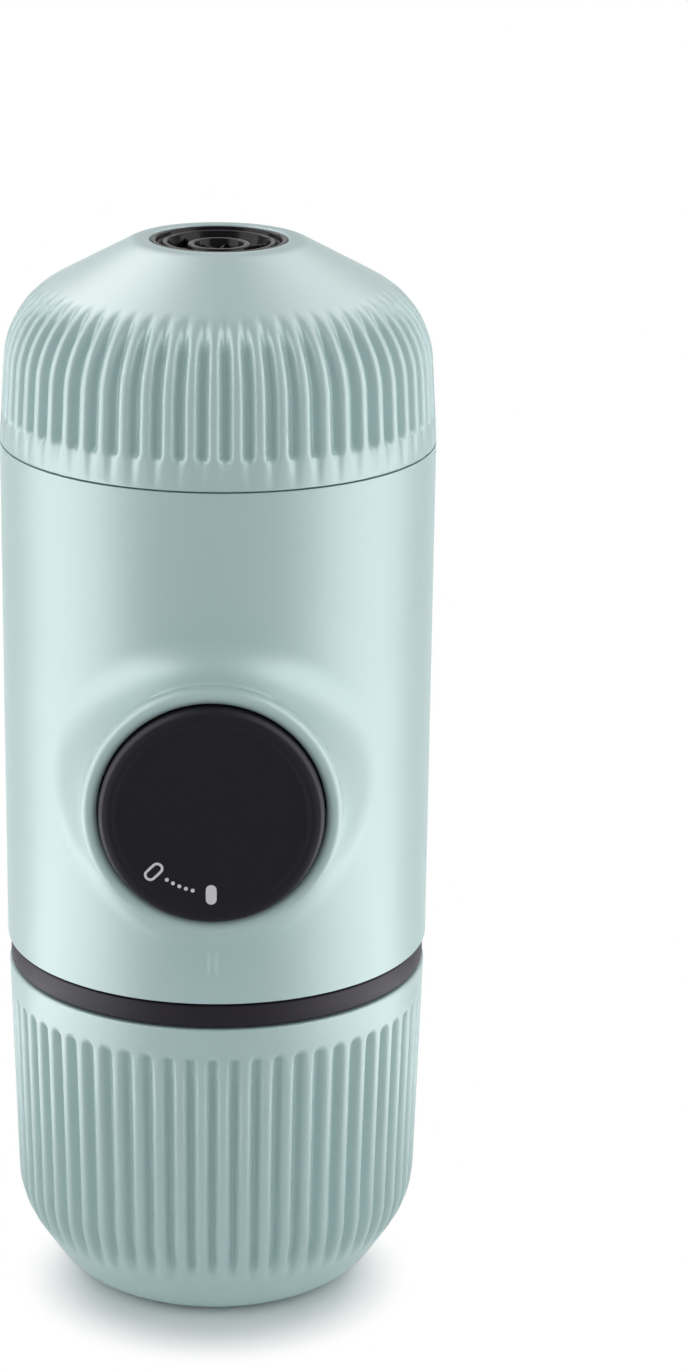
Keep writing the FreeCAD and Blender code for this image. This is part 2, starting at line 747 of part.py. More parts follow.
def helixPoint(turn, radius, start, pitch, height):
    """Point of the spring's middle line, and its direction there."""
    angle = 2 * math.pi * turn
    spot = Vector(radius * math.sin(angle), start - pitch * turn, height + radius * math.cos(angle))
    way = Vector(2 * math.pi * radius * math.cos(angle), -pitch, -2 * math.pi * radius * math.sin(angle))
    return spot, way.normalize()


def arcFrom(start, way, end):
    """Arc that leaves a point in a direction and ends at another."""
    chord = end - start
    corner = start + way * (chord.Length ** 2 / (2 * chord.dot(way)))
    middle = (start + end) * 0.5
    half = (start - middle).Length / (start - corner).Length
    return Part.Arc(start, middle + (corner - middle) * (half / (1 + half)), end)


def biarc(first, second):
    """Two arcs that join two points of a curve smoothly."""
    chord = second[0] - first[0]
    both = first[1] + second[1]
    spread = 2 * (1 - first[1].dot(second[1]))
    reach = (math.sqrt(chord.dot(both) ** 2 + spread * chord.dot(chord)) - chord.dot(both)) / spread
    joint = (first[0] + first[1] * reach + second[0] - second[1] * reach) * 0.5
    return [arcFrom(first[0], first[1], joint), arcFrom(second[0], second[1] * -1, joint)]


def returnSpring():
    """Spring of one wire, wound round the pump, between the frame's web and the knob."""
    wire = size("wireRadius")
    radius = size("springRadius")
    turns = int(size("springTurns"))
    start = size("webFront") - wire - size("fitGap")
    length = size("webFront") + size("knobBack") - 2 * wire - 2 * size("fitGap")
    pitch = length / turns
    places = [helixPoint(step / 4, radius, start, pitch, size("pumpHeight")) for step in range(4 * turns + 1)]
    edges = []
    for first, second in zip(places, places[1:]):
        edges += [arc.toShape() for arc in biarc(first, second)]
    path = Part.Wire(Part.__sortEdges__(edges))
    round = Part.Circle(places[0][0], places[0][1], wire).toShape()
    section = Part.makePolygon(round.discretize(int(size("wireSides")) + 1))
    shell = Part.BRepOffsetAPI.MakePipeShell(path)
    shell.add(section)
    shell.build()
    shell.makeSolid()
    spring = doc.addObject("Part::Feature", "return_spring")
    spring.Shape = shell.shape()
    spring.Placement = FreeCAD.Placement()
    middle = path.discretize(40 * turns)
    gaps = [(a - b).Length for i, a in enumerate(middle) for b in middle[i + 30:i + 50]]
    print(f"return_spring: least gap between turns {min(gaps) - 2 * wire:.2f} mm,",
          f"volume {spring.Shape.Volume:.1f}, section times length {Part.Face(section).Area * path.Length:.1f}")


def brewingGroup():
    spigot = newBody("brew_spigot")
    revolve(spigot, [
        ("0", "brewFoot"),
        ("discRadius", "brewFoot"),
        ("discRadius", "brewTop"),
        ("brewRadius", "brewTop"),
        ("brewRadius", "brewTop + brewHeight"),
        ("brewBore", "brewTop + brewHeight"),
        ("brewBore", "brewTop"),
        ("0", "brewTop"),
    ])
    drill(spigot, [("0", "portReach", "portRadius")], "brewTop", "brewFloor + 1")
    drill(spigot, screwPlaces("screwShank + fitGap"), "brewTop", "brewFloor + 1")
    drill(spigot, screwPlaces("screwHead + fitGap"), "brewTop", "screwHeadHeight")
    drill(spigot, [("0", "0", "screwShank + fitGap / 2")], "brewTop", "brewFloor - 1")
    ring("brew_gasket", "brewBore - fitGap - gasketWidth", "brewBore - fitGap", "brewTop", "brewTop + gasketHeight")
    shower = newBody("shower_plate")
    revolve(shower, [
        ("screwShank + fitGap", "brewTop + showerHeight - sheetThick"),
        ("showerRadius - sheetThick", "brewTop + showerHeight - sheetThick"),
        ("showerRadius - sheetThick", "brewTop"),
        ("showerRadius", "brewTop"),
        ("showerRadius", "brewTop + showerHeight"),
        ("screwShank + fitGap", "brewTop + showerHeight"),
    ])
    slots(shower, "brewTop + showerHeight", "0.3 * showerRadius", "0.85 * showerRadius")
    screw = newBody("shower_screw")
    revolve(screw, [
        ("0", "brewTop - brewFloor + 1.2"),
        ("screwShank", "brewTop - brewFloor + 1.2"),
        ("screwShank", "brewTop + showerHeight"),
        ("screwHead", "brewTop + showerHeight"),
        ("screwHead", "brewTop + showerHeight + screwHeadHeight"),
        ("0", "brewTop + showerHeight + screwHeadHeight"),
    ])
    basket = newBody("filter_basket")
    revolve(basket, [
        ("basketRadius - basketWall", "basketFoot"),
        ("basketFlange", "basketFoot"),
        ("basketFlange", "basketFoot + basketWall"),
        ("basketRadius", "basketFoot + basketWall"),
        ("basketRadius", "basketTop"),
        ("basketRadius - 3 * basketWall", "basketTop"),
        ("basketRadius - 3 * basketWall", "basketTop - basketWall"),
        ("basketRadius - basketWall", "basketTop - basketWall"),
    ])
    screen = ring("basket_screen", "0", "basketRadius - basketWall - fitGap / 2",
                  "basketTop - basketWall - sheetThick", "basketTop - basketWall")
    slots(screen, "basketTop - basketWall", "0.2 * basketRadius", "0.75 * basketRadius")
    ring("outlet_seal", "basketRadius - 3 * basketWall", "basketRadius - fitGap",
         "basketTop + sealGap", "basketTop + sealGap + sealHeight")


def slots(body, top, inner, outer):
    """Narrow slots through a sheet, pointing away from its middle."""
    sketch = newSketch(body, "XY_Plane", ("0", "0", top))
    drawOutline(sketch, [
        (inner, "-sheetThick / 2"),
        (outer, "-sheetThick / 2"),
        (outer, "sheetThick / 2"),
        (inner, "sheetThick / 2"),
    ])
    repeat(body, [extrude(body, sketch, "sheetThick")], "slotCount")


def insideOfHead():
    housing = newBody("portafilter_housing")
    throat = "basketRadius + slideGap"
    revolve(housing, [
        ("brewRadius + slideGap", "housingFoot"),
        ("skirtRadius", "housingFoot"),
        ("skirtRadius", "housingShelf"),
        (f"{throat} + headWall", "housingShelf"),
        (f"{throat} + headWall", "housingTop"),
        ("funnelRadius", "housingTop"),
        ("funnelRadius", "funnelTop"),
        ("funnelRadius - 1.5", "funnelTop"),
        ("funnelRadius - 1.5", "housingTop + 1"),
        ("valveRadius", "housingTop"),
        ("valveRadius", "housingCeiling + sheetThick + fitGap"),
        ("basketRadius - 3 * basketWall - fitGap", "housingCeiling + sheetThick + fitGap"),
        ("basketRadius - 3 * basketWall - fitGap", "housingCeiling"),
        (throat, "housingCeiling"),
        (throat, "housingShelf - 1.5"),
        ("brewRadius + slideGap", "housingShelf - 1.5"),
    ])
    screen = ring("outlet_screen", "0", "basketRadius - 3 * basketWall - 2 * fitGap",
                  "housingCeiling", "housingCeiling + sheetThick")
    slots(screen, "housingCeiling + sheetThick", "0.2 * basketRadius", "0.7 * basketRadius")
    valve = newBody("crema_valve")
    revolve(valve, [
        ("0", "housingCeiling + sheetThick + 2 * fitGap"),
        ("valveRadius - fitGap / 2", "housingCeiling + sheetThick + 2 * fitGap"),
        ("valveRadius - fitGap / 2", "housingTop + 0.1"),
        ("0.8 * valveRadius", "housingTop + 1.4"),
        ("0", "funnelTop - 1"),
    ])
    nozzle()


def nozzle():
    """Dish in the mouth: a ridge, an inner ring and vanes between them over a floor with holes."""
    body = newBody("nozzle_insert")
    rim = "mouthRadius - fitGap"
    floor = "funnelTop + 1.2"
    ridge = "headTop - nozzleSink"
    revolve(body, [
        ("0", "funnelTop"),
        ("mouthRadius + 2.5", "funnelTop"),
        ("mouthRadius + 2.5", "funnelTop + 1"),
        (rim, "funnelTop + 1.6"),
        (rim, f"{ridge} - 1.1"),
        ("nozzleRidge + 0.6", ridge),
        ("nozzleRidge - 0.3", ridge),
        ("nozzleRidge - 1.2", floor),
        ("nozzleRing + 0.8", floor),
        ("nozzleRing + 0.4", f"{ridge} - 0.3"),
        ("nozzleRing - 0.4", f"{ridge} - 0.3"),
        ("nozzleRing - 0.8", floor),
        ("0", floor),
    ])
    sketch = newSketch(body, "XZ_Plane", turn="90 deg")
    drawOutline(sketch, [
        ("0", floor + " - 0.3"),
        ("nozzleRidge - 1", floor + " - 0.3"),
        ("nozzleRidge - 0.5", f"{ridge} - 0.3"),
        ("nozzleRing", f"{ridge} - 0.4"),
        ("0", f"{ridge} - 1"),
    ])
    vane = extrude(body, sketch, "vaneThick", "Pad", bothWays=True)
    repeat(body, [vane], "vaneCount")
    holes = newSketch(body, "XY_Plane", ("0", "0", floor), "180 deg / vaneCount", Vector(0, 0, 1))
    drawCircle(holes, "0.6 * nozzleRing", "0", "0.8")
    repeat(body, [extrude(body, holes, "2")], "vaneCount")


def everyPiece():
    cup()
    collar()
    tank()
    plateAndValves()
    pumpFrame()
    frameScrews()
    pump()
    tubes()
    bodyShell()
    plunger()
    knob()
    lockRing()
    returnSpring()
    brewingGroup()
    headShell()
    insideOfHead()


def writePieces():
    broken = [item.Name for item in doc.Objects if "Invalid" in item.State or "Error" in item.State]
    if broken:
        raise RuntimeError("not computed: " + ", ".join(broken))
    pieces = [item for item in doc.Objects if item.TypeId in ("PartDesign::Body", "Part::Feature")]
    for piece in pieces:
        if piece.Shape.isNull() or not piece.Shape.isValid() or not piece.Shape.Solids:
            raise RuntimeError("no sound solid: " + piece.Label)
    for piece in pieces:
        piece.Shape.exportStep(f"parts/{piece.Label}.step")
    print(f"{len(pieces)} pieces written")


everyPiece()
doc.recompute()
writePieces()
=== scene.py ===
import json
import math
import bmesh
import bpy
from mathutils import Matrix, Vector


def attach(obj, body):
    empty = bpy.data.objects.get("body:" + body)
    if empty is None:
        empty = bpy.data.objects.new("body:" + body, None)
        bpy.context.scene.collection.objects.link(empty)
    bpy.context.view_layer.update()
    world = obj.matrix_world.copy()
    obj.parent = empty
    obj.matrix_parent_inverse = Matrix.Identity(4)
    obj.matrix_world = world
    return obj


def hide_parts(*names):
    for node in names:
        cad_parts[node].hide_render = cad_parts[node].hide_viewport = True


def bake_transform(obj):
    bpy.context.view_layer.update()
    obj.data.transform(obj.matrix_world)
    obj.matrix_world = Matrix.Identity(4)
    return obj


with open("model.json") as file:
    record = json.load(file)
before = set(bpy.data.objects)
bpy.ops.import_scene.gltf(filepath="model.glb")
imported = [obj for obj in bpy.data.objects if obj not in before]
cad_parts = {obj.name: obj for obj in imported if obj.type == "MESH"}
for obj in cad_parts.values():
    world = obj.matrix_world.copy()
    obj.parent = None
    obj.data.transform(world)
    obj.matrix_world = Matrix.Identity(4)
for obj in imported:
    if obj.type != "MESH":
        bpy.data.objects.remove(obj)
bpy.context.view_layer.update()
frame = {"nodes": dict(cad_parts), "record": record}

mm = 0.001  # lengths in the settings below are in millimetres unless their note says metres
pumpHeight = 84.09  # the pump's axis lies across, this far above the cup's foot
weld = 2e-6  # metres: corners this close become one


def smoothStep(low, high, value):
    share = min(max((value - low) / (high - low), 0.0), 1.0)
    return share * share * (3 - 2 * share)


# outline of a turned piece: corners are (radius, height) or (radius, height, round), in millimetres
def roundedOutline(corners, chord=0.6):
    points = []
    for index, corner in enumerate(corners):
        here = Vector(corner[:2])
        if len(corner) == 2:
            points.append(here)
            continue
        back = (Vector(corners[index - 1][:2]) - here).normalized()
        onward = (Vector(corners[(index + 1) % len(corners)][:2]) - here).normalized()
        half = back.angle(onward) / 2
        reach = corner[2] / math.tan(half)
        middle = here + (back + onward).normalized() * (corner[2] / math.sin(half))
        start = here + back * reach - middle
        end = here + onward * reach - middle
        turn = math.copysign(math.pi - 2 * half, start.cross(end))
        steps = max(3, math.ceil(abs(turn) * corner[2] / chord))
        for step in range(steps + 1):
            points.append(middle + Matrix.Rotation(turn * step / steps, 2) @ start)
    return points


# more points along the straight runs, closest where a flute begins or ends
def dividedOutline(points, fineHeights, fine, coarse):
    divided = []
    for start, end in zip(points, points[1:] + points[:1]):
        length = (end - start).length
        marks = [0.0]
        while marks[-1] < length:
            height = start.lerp(end, marks[-1] / length).y
            near = any(low <= height <= high for low, high in fineHeights)
            marks.append(marks[-1] + (fine if near else coarse))
        divided += [start.lerp(end, mark / length) for mark in marks[:-1]]
    return divided


def pieceFrom(bm, name, material, body, sharp=38):
    mesh = bpy.data.meshes.new(name)
    bm.to_mesh(mesh)
    bm.free()
    mesh.shade_smooth()
    mesh.set_sharp_from_angle(angle=math.radians(sharp))
    mesh.materials.append(material)
    piece = bpy.data.objects.new(name, mesh)
    bpy.context.scene.collection.objects.link(piece)
    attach(piece, body)
    return piece


# a turned form: its outline's (radius, height) goes round the upright, or round the pump's axis
def turned(outline, steps, across=False, height=0.0):
    bm = bmesh.new()
    verts = [bm.verts.new((point.x * mm, 0, point.y * mm)) for point in outline]
    edges = [bm.edges.new(pair) for pair in zip(verts, verts[1:] + verts[:1])]
    bmesh.ops.spin(bm, geom=verts + edges, cent=(0, 0, 0), axis=(0, 0, 1), angle=2 * math.pi,
                   steps=steps, use_merge=True)
    bmesh.ops.remove_doubles(bm, verts=bm.verts, dist=weld)
    bmesh.ops.recalc_face_normals(bm, faces=bm.faces)
    if across:  # the outline's height becomes a distance along +Y
        bmesh.ops.rotate(bm, verts=bm.verts, cent=(0, 0, 0), matrix=Matrix.Rotation(-math.pi / 2, 3, "X"))
    bmesh.ops.translate(bm, verts=bm.verts, vec=(0, 0, height * mm))
    return bm


def newMaterial(name):
    material = bpy.data.materials.new(name)
    material.use_nodes = True
    nodes = material.node_tree.nodes
    return material, nodes, material.node_tree.links, nodes["Principled BSDF"]


# Moulded plastic or rubber: a fine grain, a slow drift of tone and a little wear in the gloss

mouldSurface = {"grainDetail": 3, "driftScale": 45, "driftDetail": 2, "glossSpread": 0.12, "relief": 0.00005}


def moulded(name, colour, roughness, grain, bump, drift=0.04, specular=0.5):
    material, nodes, links, shader = newMaterial(name)
    place = nodes.new("ShaderNodeTexCoord")
    fine = nodes.new("ShaderNodeTexNoise")
    fine.inputs["Scale"].default_value = 1000 / grain
    fine.inputs["Detail"].default_value = mouldSurface["grainDetail"]
    slow = nodes.new("ShaderNodeTexNoise")
    slow.inputs["Scale"].default_value = mouldSurface["driftScale"]
    slow.inputs["Detail"].default_value = mouldSurface["driftDetail"]
    links.new(place.outputs["Object"], fine.inputs["Vector"])
    links.new(place.outputs["Object"], slow.inputs["Vector"])
    tone = nodes.new("ShaderNodeMix")
    tone.data_type = "RGBA"
    tone.inputs["A"].default_value = [channel * (1 - drift) for channel in colour] + [1]
    tone.inputs["B"].default_value = [min(channel * (1 + drift), 1) for channel in colour] + [1]
    links.new(slow.outputs["Fac"], tone.inputs["Factor"])
    links.new(tone.outputs["Result"], shader.inputs["Base Color"])
    gloss = nodes.new("ShaderNodeMapRange")
    gloss.inputs["To Min"].default_value = roughness * (1 - mouldSurface["glossSpread"])
    gloss.inputs["To Max"].default_value = roughness * (1 + mouldSurface["glossSpread"])
    links.new(fine.outputs["Fac"], gloss.inputs["Value"])
    links.new(gloss.outputs["Result"], shader.inputs["Roughness"])
    relief = nodes.new("ShaderNodeBump")
    relief.inputs["Strength"].default_value = bump
    relief.inputs["Distance"].default_value = mouldSurface["relief"]
    links.new(fine.outputs["Fac"], relief.inputs["Height"])
    links.new(relief.outputs["Normal"], shader.inputs["Normal"])
    shader.inputs["Specular IOR Level"].default_value = specular
    return material


# Brushed stainless sheet and wire, its lines along X

steel = {"colour": (0.6, 0.6, 0.61, 1), "lines": (400, 4000, 4000), "smooth": 0.2, "rough": 0.38}


def brushedSteel(name):
    material, nodes, links, shader = newMaterial(name)
    place = nodes.new("ShaderNodeTexCoord")
    stretch = nodes.new("ShaderNodeMapping")
    stretch.inputs["Scale"].default_value = steel["lines"]
    lines = nodes.new("ShaderNodeTexNoise")
    lines.inputs["Scale"].default_value = 1
    links.new(place.outputs["Object"], stretch.inputs["Vector"])
    links.new(stretch.outputs["Vector"], lines.inputs["Vector"])
    gloss = nodes.new("ShaderNodeMapRange")
    gloss.inputs["To Min"].default_value = steel["smooth"]
    gloss.inputs["To Max"].default_value = steel["rough"]
    links.new(lines.outputs["Fac"], gloss.inputs["Value"])
    links.new(gloss.outputs["Result"], shader.inputs["Roughness"])
    shader.inputs["Base Color"].default_value = steel["colour"]
    shader.inputs["Metallic"].default_value = 1
    return material


# Translucent tank plastic with faint flow lines

tankPlastic = {"colour": (0.62, 0.66, 0.68, 1), "flowScale": 120, "smooth": 0.16, "rough": 0.3,
               "clear": 0.75, "index": 1.49}


def smokedTank(name):
    material, nodes, links, shader = newMaterial(name)
    place = nodes.new("ShaderNodeTexCoord")
    flow = nodes.new("ShaderNodeTexNoise")
    flow.inputs["Scale"].default_value = tankPlastic["flowScale"]
    gloss = nodes.new("ShaderNodeMapRange")
    gloss.inputs["To Min"].default_value = tankPlastic["smooth"]
    gloss.inputs["To Max"].default_value = tankPlastic["rough"]
    links.new(place.outputs["Object"], flow.inputs["Vector"])
    links.new(flow.outputs["Fac"], gloss.inputs["Value"])
    links.new(gloss.outputs["Result"], shader.inputs["Roughness"])
    shader.inputs["Base Color"].default_value = tankPlastic["colour"]
    shader.inputs["Transmission Weight"].default_value = tankPlastic["clear"]
    shader.inputs["IOR"].default_value = tankPlastic["index"]
    return material


# the key is the record's material slot; grain is its size in millimetres
finishes = {
    "shell_teal": moulded("satinShell", (0.415, 0.562, 0.562), 0.42, grain=0.22, bump=0.05, drift=0.015),
    "knob_black": moulded("satinKnob", (0.011, 0.010, 0.013), 0.44, grain=0.3, bump=0.08, specular=0.09),
    "frame_black": moulded("mattFrame", (0.014, 0.012, 0.018), 0.5, grain=0.35, bump=0.1, specular=0.12),
    "gloss_black": moulded("glossyInsert", (0.006, 0.005, 0.007), 0.18, grain=0.6, bump=0.02, specular=0.06),
    "seal_rubber": moulded("softSeal", (0.02, 0.02, 0.022), 0.62, grain=0.4, bump=0.15),
    "valve_rubber": moulded("paleSilicone", (0.55, 0.53, 0.5), 0.55, grain=0.5, bump=0.1),
    "pump_white": moulded("palePump", (0.62, 0.62, 0.6), 0.4, grain=0.3, bump=0.06),
    "mark_grey": moulded("printedMark", (0.62, 0.61, 0.63), 0.5, grain=0.2, bump=0.03),
    "tank_clear": smokedTank("smokedTank"),
    "steel": brushedSteel("brushedSteel"),
}
slotOf = {part["node"]: part["material_slot"] for part in frame["record"]["subparts"]}
for node, thing in frame["nodes"].items():
    thing.data.materials.clear()
    thing.data.materials.append(finishes[slotOf[node]])
print("finishes made")


# Fluted cup and head: one flute's slice is turned and pressed in along its normals, then repeated all round

flutes = {"count": 60, "depth": 1.35, "sharpness": 1.8, "around": 14, "fine": 0.45, "coarse": 3.5,
          "outward": 0.02}


# foot and top are the heights between which a flute's lower and upper end fade
def flutedShell(outline, foot, top, phase, roundEnd):
    pitch = 2 * math.pi / flutes["count"]
    bm = bmesh.new()
    fineHeights = [(foot[0] - 1, foot[1]), (top[0] - 1, top[1])]
    points = dividedOutline(outline, fineHeights, flutes["fine"], flutes["coarse"])
    verts = [bm.verts.new((point.x * mm, 0, point.y * mm)) for point in points]
    edges = [bm.edges.new(pair) for pair in zip(verts, verts[1:] + verts[:1])]
    bmesh.ops.rotate(bm, verts=verts, cent=(0, 0, 0), matrix=Matrix.Rotation(phase - pitch / 2, 3, "Z"))
    bmesh.ops.spin(bm, geom=verts + edges, cent=(0, 0, 0), axis=(0, 0, 1), angle=pitch,
                   steps=flutes["around"])
    bmesh.ops.recalc_face_normals(bm, faces=bm.faces)
    widest = max(bm.verts, key=lambda vert: Vector(vert.co[:2]).length)
    if widest.normal.dot(Vector((widest.co.x, widest.co.y, 0))) < 0:
        bmesh.ops.reverse_faces(bm, faces=bm.faces)
    bm.normal_update()
    moves = []
    for vert in bm.verts:
        around = Vector((vert.co.x, vert.co.y, 0))
        up = vert.co.z / mm
        if not foot[0] < up < top[1] or vert.normal.dot(around) < flutes["outward"] * around.length:
            continue  # neither the inner face nor the bands above and below
        aside = around.angle(Vector((math.cos(phase), math.sin(phase), 0))) * around.length / mm
        # one end is as round as the flute is wide, the other fades into the corner
        if roundEnd == "top":
            beyond = max(up - top[0], 0)
            fade = smoothStep(foot[0], foot[1], up)
        else:
            beyond = max(foot[1] - up, 0)
            fade = 1 - smoothStep(top[0], top[1], up)
        half = math.pi * around.length / mm / flutes["count"]
        away = math.hypot(aside, beyond) / half
        if away < 1:
            dip = (0.5 + 0.5 * math.cos(math.pi * away)) ** flutes["sharpness"]
            moves.append((vert, vert.normal * (-flutes["depth"] * mm * dip * fade)))
    for vert, move in moves:
        vert.co += move
    bmesh.ops.spin(bm, geom=bm.verts[:] + bm.edges[:] + bm.faces[:], cent=(0, 0, 0), axis=(0, 0, 1),
                   angle=2 * math.pi - pitch, steps=flutes["count"] - 1, use_duplicate=True)
    bmesh.ops.remove_doubles(bm, verts=bm.verts, dist=weld)
    bmesh.ops.recalc_face_normals(bm, faces=bm.faces)
    return bm


def flutedCup():
    cup = {"foot": (6.9, 11.8), "top": (43.3, 44.9), "phase": math.radians(-90), "roundEnd": "top"}
    outline = roundedOutline([
        (0, 0), (21.86, 0, 8.2), (29.56, 11.57, 14.5), (30.63, 48.94, 0.35), (28.43, 48.94, 0.3),
        (27.36, 13.2, 12.3), (20.7, 2.2, 6), (0, 2.2)])
    bm = flutedShell(outline, **cup)
    piece = pieceFrom(bm, "flutedCup", finishes["shell_teal"], "cup", sharp=60)
    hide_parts("cup")


def flutedHead():
    head = {"foot": (129.6, 132.2), "top": (145.2, 150.3), "phase": math.radians(-93), "roundEnd": "foot"}
    outline = roundedOutline([
        (31.0, 127.47, 0.25), (29.83, 146.43, 13.2), (11.98, 156.0, 3.75), (9.73, 156.0, 0.35),
        (9.73, 154.2), (27.9, 145.3, 11), (29.2, 127.47, 0.2)])
    bm = flutedShell(outline, **head)
    piece = pieceFrom(bm, "flutedHead", finishes["shell_teal"], "outlet_head", sharp=60)
    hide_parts("head_shell")


flutedCup()
flutedHead()
print("cup and head pressed")


# Casing: a sheet of rings round the knob's bore that spreads out into the whole wall

casing = {
    "foot": 53.09, "top": 127.29, "footRadius": 30.84, "topRadius": 30.99, "wall": 1.85, "turnedIn": 9.0,
    "bore": 15.8, "boreBack": 23.1, "boreMiddle": 30, "boreEnd": 2.4, "lip": 15.62, "lipEnd": 2.2,
    "boss": 17.9, "reach": 38.4, "crease": 36.0, "creaseWidth": 0.12, "creaseDepth": 0.1, "creaseLip": 0.08,
    "fillet": 5.6, "flare": 1.1, "lean": 0.62,
}
# points of a ray on the rim, the sweep and the wall, then rays to each side; notchTurn is in degrees
division = {"rim": 12, "sweep": 16, "wall": 40, "beside": 28, "above": 136, "below": 60, "atNotch": 30,
            "notchTurn": 2.6}
# the short line that the marks point at
notch = {"middle": 59.3, "half": 1.45, "width": 2.0, "depth": 0.28, "softness": 0.8}
tiny = 1e-9  # keeps a level or upright ray from being divided by nothing


def wallRadius(height):
    share = (height - casing["foot"]) / (casing["top"] - casing["foot"])
    return casing["footRadius"] + share * (casing["topRadius"] - casing["footRadius"])


def wallPoint(x, z):
    radius = wallRadius(z)
    return Vector((x, -math.sqrt(radius ** 2 - x ** 2), z))


# a ray round the pump's axis, from the bore's back edge to the far edge of the unrolled wall
def casingRay(angle):
    across, up = math.cos(angle), math.sin(angle)
    bore, lip, boss = casing["bore"], casing["lip"], casing["boss"]

    def spot(radius, y):
        return Vector((radius * across, y, pumpHeight + radius * up))

    front = -casing["reach"]
    rim = (boss - lip) / 2
    points = [spot(bore, -casing["boreBack"]), spot(bore, -casing["boreMiddle"]),
              spot(bore, front + casing["boreEnd"]), spot(lip, front + casing["lipEnd"])]
    for step in range(division["rim"] + 1):  # rounded rim, from the bore's lip over to the boss's side
        turn = math.pi * step / division["rim"]
        points.append(spot(lip + rim - rim * math.cos(turn), front + rim - rim * math.sin(turn)))
    crease = -casing["crease"]
    points += [spot(boss, crease - casing["creaseWidth"]), spot(boss - casing["creaseDepth"], crease),
               spot(boss + casing["creaseLip"], crease + casing["creaseDepth"])]
    # a wide hollow sweeps from the crease out into the wall, which it leans on close by the boss
    start = points[-1]
    near = boss + casing["flare"]
    reach = boss + casing["fillet"]
    end = wallPoint(reach * across, pumpHeight + reach * up)
    foot = wallPoint(near * across, pumpHeight + near * up)
    for step in range(1, division["sweep"] + 1):
        share = step / division["sweep"]
        rest = 1 - share
        points.append(start * rest ** 3 + start.lerp(foot, casing["lean"]) * 3 * share * rest ** 2
                      + end.lerp(foot, casing["lean"]) * 3 * share ** 2 * rest + end * share ** 3)
    points += wallRay(angle, reach)
    return points


# the rest of the ray runs over the unrolled wall, to its rim or to the seam at the back
def wallRay(angle, start):
    across, up = math.cos(angle), math.sin(angle)
    radius = casing["footRadius"]
    startTurn = math.asin(start * across / radius)
    startHeight = pumpHeight + start * up
    edge = casing["top"] if up > 0 else casing["foot"]
    lengthUp = (edge - pumpHeight) / up if abs(up) > tiny else 1 / tiny
    lengthAcross = math.pi / max(abs(across), tiny) * radius
    length = min(lengthUp, lengthAcross)
    endTurn = length * across / radius
    endHeight = pumpHeight + length * up
    points = []
    for step in range(1, division["wall"] + 1):
        share = step / division["wall"]
        turn = startTurn + (endTurn - startTurn) * share
        height = startHeight + (endHeight - startHeight) * share
        wide = wallRadius(height)
        points.append(Vector((wide * math.sin(turn), -wide * math.cos(turn), height)))
    return points


# rays that hit the corners of the unrolled wall are among them, and they crowd at the notch below the knob
def rayAngles():
    radius = casing["footRadius"]
    above = math.atan2(casing["top"] - pumpHeight, math.pi * radius)
    below = math.atan2(pumpHeight - casing["foot"], math.pi * radius)
    down = 1.5 * math.pi
    near = math.radians(division["notchTurn"])
    stops = [-below, above, math.pi - above, math.pi + below, down - near, down + near, 2 * math.pi - below]
    counts = [division[side] for side in ("beside", "above", "beside", "below", "atNotch", "below")]
    angles = []
    for start, end, count in zip(stops, stops[1:], counts):
        angles += [start + (end - start) * step / count for step in range(count)]
    return angles + [stops[-1]]


def pressNotch(point):
    aside = abs(point.x)
    beyond = max(abs(point.z - notch["middle"]) - notch["half"], 0)
    away = math.hypot(aside, beyond) / (notch["width"] / 2)
    if away < 1 and point.y < 0:
        point.y += notch["depth"] * (0.5 + 0.5 * math.cos(math.pi * away)) ** notch["softness"]
    return point


def buildCasing():
    rays = [[pressNotch(point) for point in casingRay(angle)] for angle in rayAngles()]
    rows, columns = len(rays[0]) - 1, len(rays) - 1
    bm = bmesh.new()
    bmesh.ops.create_grid(bm, x_segments=rows, y_segments=columns, size=1)
    for vert in bm.verts:  # each line of the grid becomes one ray
        row = round((vert.co.x + 1) / 2 * rows)
        column = round((vert.co.y + 1) / 2 * columns)
        vert.co = rays[column][row] * mm
    bmesh.ops.remove_doubles(bm, verts=bm.verts, dist=10 * weld)
    bmesh.ops.recalc_face_normals(bm, faces=bm.faces)
    turnIn(bm, casing["top"], -1)
    turnIn(bm, casing["foot"], 1)
    back = max(bm.faces, key=lambda face: face.calc_center_median().y)
    if back.normal.y < 0:
        bmesh.ops.reverse_faces(bm, faces=bm.faces)
    piece = pieceFrom(bm, "mainCasing", finishes["shell_teal"], "main_body", sharp=50)
    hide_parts("body_shell")


# the wall's open rim rolls over to its inner face
def turnIn(bm, height, inward):
    rim = [edge for edge in bm.edges if edge.is_boundary
           and all(abs(vert.co.z / mm - height) < 0.01 for vert in edge.verts)]
    for sink, depth in ((casing["wall"], 0.0), (0.0, casing["turnedIn"])):
        made = bmesh.ops.extrude_edge_only(bm, edges=rim)["geom"]
        verts = [item for item in made if isinstance(item, bmesh.types.BMVert)]
        for vert in verts:
            around = Vector((vert.co.x, vert.co.y, 0))
            vert.co -= around.normalized() * sink * mm
            vert.co.z += inward * depth * mm
        rim = [item for item in made if isinstance(item, bmesh.types.BMEdge)]


buildCasing()
print("casing made")


# Black band under the casing, with the spigot that the cup slips over

def bandRing():
    band = {"bore": 26.3, "spigot": 27.95, "radius": 30.4, "foot": 42.74, "step": 49.24, "top": 52.6}
    outline = roundedOutline([
        (band["bore"], band["foot"]), (band["spigot"], band["foot"], 0.3), (band["spigot"], band["step"]),
        (band["radius"], band["step"], 0.35), (band["radius"], band["top"], 0.35),
        (band["bore"], band["top"])])
    piece = pieceFrom(turned(outline, 192), "bandRing", finishes["frame_black"], "main_body")
    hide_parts("collar_ring")


# Knob with its dished face, and the printed lock marks

